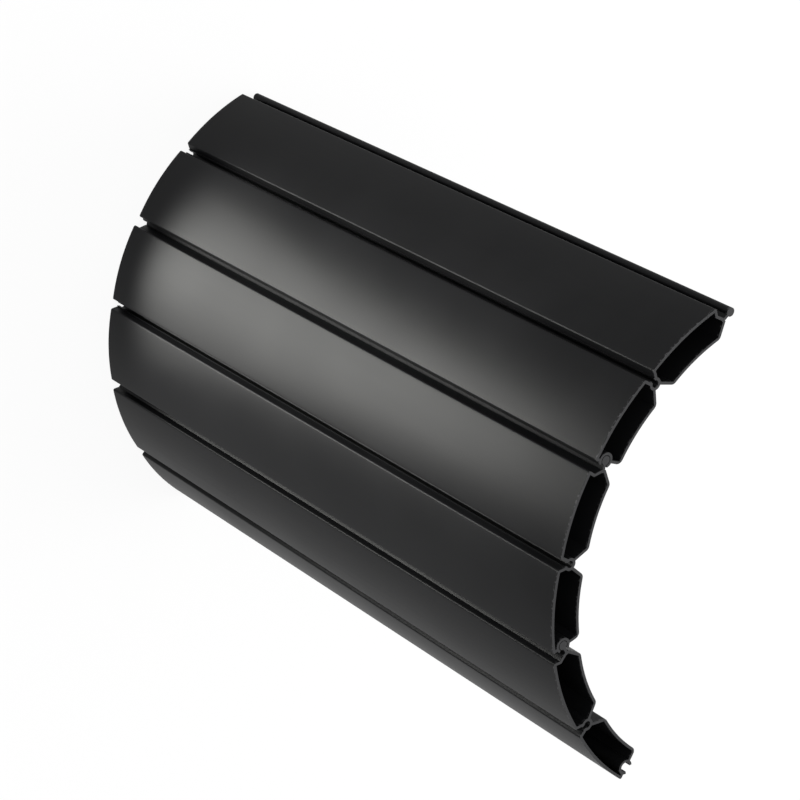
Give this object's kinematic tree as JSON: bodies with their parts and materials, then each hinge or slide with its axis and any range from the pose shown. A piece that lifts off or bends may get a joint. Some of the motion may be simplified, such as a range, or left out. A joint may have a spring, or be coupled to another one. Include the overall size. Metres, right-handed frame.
{
  "type": "roller shutter slat",
  "caption": "Hinged section of a roller shutter curtain: hollow black extruded slats with bowed faces and a middle groove, each bead held in the socket of the slat above.",
  "frame": {"origin": "centre of the footprint on the floor", "axes": "+Z along the slats from the standing cut end, +Y up the curtain towards the free bead, +X into the coil"},
  "size_m": [0.066, 0.2016, 0.325],
  "materials": {
    "slat": "satin black powder coat, bare where cut"
  },
  "bodies": {
    "slat_top": {"slat_top": "slat"},
    "slat_mid": {"slat_mid": "slat"},
    "slat_low": {"slat_low": "slat"}
  },
  "joints": [
    {"name": "hinge_a", "type": "hinge", "parent": "slat_top", "child": "slat_mid", "pos_m": [-0.02097, 0.0392, 0], "axis": [0, 0, 1], "range_deg": [-39.2, 5.8]},
    {"name": "hinge_b", "type": "hinge", "parent": "slat_mid", "child": "slat_low", "pos_m": [-0.02097, -0.0378, 0], "axis": [0, 0, 1], "range_deg": [-41.3, 3.7]}
  ]
}
